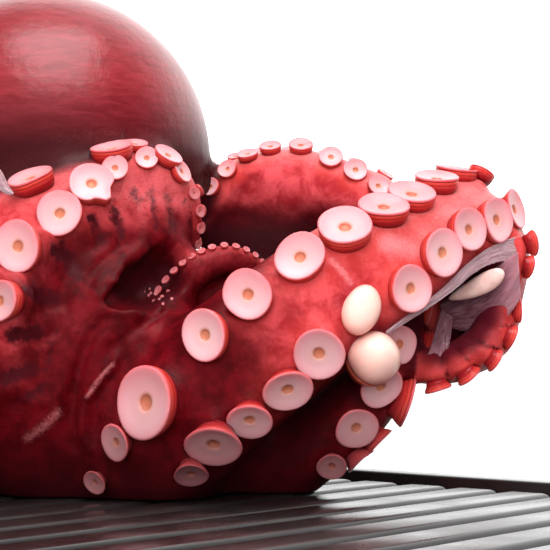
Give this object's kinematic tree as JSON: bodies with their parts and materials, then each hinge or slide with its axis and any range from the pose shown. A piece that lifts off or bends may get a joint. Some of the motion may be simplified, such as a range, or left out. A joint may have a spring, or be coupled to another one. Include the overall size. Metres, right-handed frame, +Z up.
{
  "type": "cooked octopus",
  "caption": "Whole boiled octopus with a round body bag and curled suckered arms, resting on a shallow dark ribbed serving tray.",
  "frame": {"origin": "centre of the tray's flat underside", "axes": "+Z up, +X along the tray's long side across its ribs, +Y along the ribs to the side that the octopus stands nearer to"},
  "size_m": [0.378, 0.244, 0.175],
  "materials": {
    "octopus_skin": "wet gloss",
    "tray": "gloss"
  },
  "bodies": {
    "root": {"octopus": "octopus_skin", "tray": "tray"}
  },
  "joints": []
}
